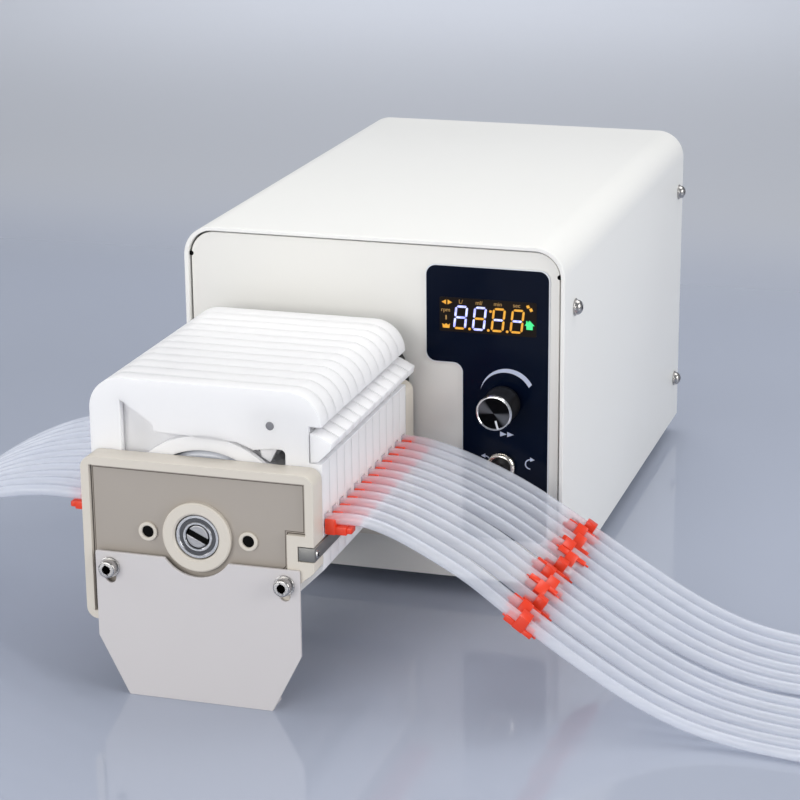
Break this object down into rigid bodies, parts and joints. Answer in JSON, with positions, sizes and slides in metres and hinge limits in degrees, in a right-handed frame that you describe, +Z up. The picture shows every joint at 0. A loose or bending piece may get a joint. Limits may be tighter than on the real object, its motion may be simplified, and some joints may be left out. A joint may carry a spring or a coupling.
{
  "type": "multichannel peristaltic pump",
  "caption": "Bench peristaltic pump: a sheet-metal drive with a knob and display carries a cartridge head whose rollers squeeze side-by-side tubes.",
  "frame": {"origin": "middle of the pump's footprint box without its tubes, at table height", "axes": "+X right when facing the control panel, -Y the front, +Z up"},
  "size_m": [0.5183, 0.4206, 0.1687],
  "materials": {
    "case_white": "white powder coat",
    "chassis_white": "off-white powder coat, fine",
    "plate_beige": "moulded beige plastic, satin",
    "adapter_black": "black moulded plastic",
    "cartridge_white": "natural white acetal, slightly translucent",
    "lever_white": "natural white acetal",
    "rotor_steel": "turned stainless steel",
    "rail_steel": "ground steel",
    "roller_steel": "polished stainless steel",
    "bearing_steel": "bearing steel",
    "support_white": "light grey-white powder coat",
    "tube_clear": "translucent pump tubing with orange-red stops",
    "overlay_navy": "dark blue printed polyester",
    "knob_black": "black knob with a bright turned rim",
    "encoder_steel": "plated shaft",
    "switch_chrome": "bright nickel ring nut",
    "toggle_black": "black moulded lever",
    "motor_black": "black laminated body",
    "inlet_black": "black moulding",
    "rocker_black": "black rocker"
  },
  "bodies": {
    "base": {"top_cover": "case_white", "chassis": "chassis_white", "control_overlay": "overlay_navy", "toggle_switch": "switch_chrome", "stepper_motor": "motor_black", "power_inlet": "inlet_black", "adapter_plate": "adapter_black", "head_rear_plate": "plate_beige", "head_front_plate": "plate_beige", "left_rail": "rail_steel", "right_rail": "rail_steel", "front_bearing": "bearing_steel", "support_foot": "support_white", "cartridge_01": "cartridge_white", "cartridge_02": "cartridge_white", "cartridge_03": "cartridge_white", "cartridge_04": "cartridge_white", "cartridge_05": "cartridge_white", "cartridge_06": "cartridge_white", "cartridge_07": "cartridge_white", "cartridge_08": "cartridge_white", "cartridge_09": "cartridge_white", "cartridge_10": "cartridge_white", "cartridge_11": "cartridge_white", "cartridge_12": "cartridge_white", "tube_01": "tube_clear", "tube_02": "tube_clear", "tube_03": "tube_clear", "tube_04": "tube_clear", "tube_05": "tube_clear", "tube_06": "tube_clear", "tube_07": "tube_clear", "tube_08": "tube_clear", "tube_09": "tube_clear", "tube_10": "tube_clear", "tube_11": "tube_clear", "tube_12": "tube_clear"},
    "rotor": {"rotor": "rotor_steel"},
    "encoder": {"encoder_shaft": "encoder_steel"},
    "knob": {"speed_knob": "knob_black"},
    "toggle": {"toggle_lever": "toggle_black"},
    "rocker": {"power_switch": "rocker_black"},
    "roller_1_body": {"roller_1": "roller_steel"},
    "roller_2_body": {"roller_2": "roller_steel"},
    "roller_3_body": {"roller_3": "roller_steel"},
    "roller_4_body": {"roller_4": "roller_steel"},
    "roller_5_body": {"roller_5": "roller_steel"},
    "roller_6_body": {"roller_6": "roller_steel"},
    "lever_01_body": {"lever_01": "lever_white"},
    "lever_02_body": {"lever_02": "lever_white"},
    "lever_03_body": {"lever_03": "lever_white"},
    "lever_04_body": {"lever_04": "lever_white"},
    "lever_05_body": {"lever_05": "lever_white"},
    "lever_06_body": {"lever_06": "lever_white"},
    "lever_07_body": {"lever_07": "lever_white"},
    "lever_08_body": {"lever_08": "lever_white"},
    "lever_09_body": {"lever_09": "lever_white"},
    "lever_10_body": {"lever_10": "lever_white"},
    "lever_11_body": {"lever_11": "lever_white"},
    "lever_12_body": {"lever_12": "lever_white"}
  },
  "joints": [
    {"name": "rotor_spin", "type": "hinge", "parent": "base", "child": "rotor", "pos_m": [-0.0304, -0.19675, 0.073], "axis": [0, -1, 0], "continuous": true},
    {"name": "roller_1_spin", "type": "hinge", "parent": "rotor", "child": "roller_1_body", "pos_m": [-0.01221, -0.19445, 0.0835], "axis": [0, -1, 0], "continuous": true},
    {"name": "roller_2_spin", "type": "hinge", "parent": "rotor", "child": "roller_2_body", "pos_m": [-0.0304, -0.19445, 0.094], "axis": [0, -1, 0], "continuous": true},
    {"name": "roller_3_spin", "type": "hinge", "parent": "rotor", "child": "roller_3_body", "pos_m": [-0.04859, -0.19445, 0.0835], "axis": [0, -1, 0], "continuous": true},
    {"name": "roller_4_spin", "type": "hinge", "parent": "rotor", "child": "roller_4_body", "pos_m": [-0.04859, -0.19445, 0.0625], "axis": [0, -1, 0], "continuous": true},
    {"name": "roller_5_spin", "type": "hinge", "parent": "rotor", "child": "roller_5_body", "pos_m": [-0.0304, -0.19445, 0.052], "axis": [0, -1, 0], "continuous": true},
    {"name": "roller_6_spin", "type": "hinge", "parent": "rotor", "child": "roller_6_body", "pos_m": [-0.01221, -0.19445, 0.0625], "axis": [0, -1, 0], "continuous": true},
    {"name": "knob_press", "type": "slide", "parent": "base", "child": "encoder", "axis": [0, 1, 0], "range_m": [0, 0.0012], "stiffness_N_per_m": 1200, "springref_m": -0.001},
    {"name": "knob_turn", "type": "hinge", "parent": "encoder", "child": "knob", "pos_m": [0.0625, -0.06915, 0.0965], "axis": [0, -1, 0], "continuous": true},
    {"name": "toggle_tip", "type": "hinge", "parent": "base", "child": "toggle", "pos_m": [0.0615, -0.06345, 0.066], "axis": [0, 0, 1], "range_deg": [-14, 14]},
    {"name": "power_rocker", "type": "hinge", "parent": "base", "child": "rocker", "pos_m": [0.045, 0.20245, 0.0625], "axis": [1, 0, 0], "range_deg": [0, 16]},
    {"name": "lever_01_tilt", "type": "hinge", "parent": "base", "child": "lever_01_body", "pos_m": [-0.0016, -0.19205, 0.1199], "axis": [0, -1, 0], "range_deg": [0, 8]},
    {"name": "lever_02_tilt", "type": "hinge", "parent": "base", "child": "lever_02_body", "pos_m": [-0.0016, -0.18235, 0.1199], "axis": [0, -1, 0], "range_deg": [0, 8]},
    {"name": "lever_03_tilt", "type": "hinge", "parent": "base", "child": "lever_03_body", "pos_m": [-0.0016, -0.17265, 0.1199], "axis": [0, -1, 0], "range_deg": [0, 8]},
    {"name": "lever_04_tilt", "type": "hinge", "parent": "base", "child": "lever_04_body", "pos_m": [-0.0016, -0.16295, 0.1199], "axis": [0, -1, 0], "range_deg": [0, 8]},
    {"name": "lever_05_tilt", "type": "hinge", "parent": "base", "child": "lever_05_body", "pos_m": [-0.0016, -0.15325, 0.1199], "axis": [0, -1, 0], "range_deg": [0, 8]},
    {"name": "lever_06_tilt", "type": "hinge", "parent": "base", "child": "lever_06_body", "pos_m": [-0.0016, -0.14355, 0.1199], "axis": [0, -1, 0], "range_deg": [0, 8]},
    {"name": "lever_07_tilt", "type": "hinge", "parent": "base", "child": "lever_07_body", "pos_m": [-0.0016, -0.13385, 0.1199], "axis": [0, -1, 0], "range_deg": [0, 8]},
    {"name": "lever_08_tilt", "type": "hinge", "parent": "base", "child": "lever_08_body", "pos_m": [-0.0016, -0.12415, 0.1199], "axis": [0, -1, 0], "range_deg": [0, 8]},
    {"name": "lever_09_tilt", "type": "hinge", "parent": "base", "child": "lever_09_body", "pos_m": [-0.0016, -0.11445, 0.1199], "axis": [0, -1, 0], "range_deg": [0, 8]},
    {"name": "lever_10_tilt", "type": "hinge", "parent": "base", "child": "lever_10_body", "pos_m": [-0.0016, -0.10475, 0.1199], "axis": [0, -1, 0], "range_deg": [0, 8]},
    {"name": "lever_11_tilt", "type": "hinge", "parent": "base", "child": "lever_11_body", "pos_m": [-0.0016, -0.09505, 0.1199], "axis": [0, -1, 0], "range_deg": [0, 8]},
    {"name": "lever_12_tilt", "type": "hinge", "parent": "base", "child": "lever_12_body", "pos_m": [-0.0016, -0.08535, 0.1199], "axis": [0, -1, 0], "range_deg": [0, 8]}
  ],
  "couplings": [
    {"joint": "roller_1_spin", "follows": "rotor_spin", "ratio": -4.5},
    {"joint": "roller_2_spin", "follows": "rotor_spin", "ratio": -4.5},
    {"joint": "roller_3_spin", "follows": "rotor_spin", "ratio": -4.5},
    {"joint": "roller_4_spin", "follows": "rotor_spin", "ratio": -4.5},
    {"joint": "roller_5_spin", "follows": "rotor_spin", "ratio": -4.5},
    {"joint": "roller_6_spin", "follows": "rotor_spin", "ratio": -4.5}
  ]
}
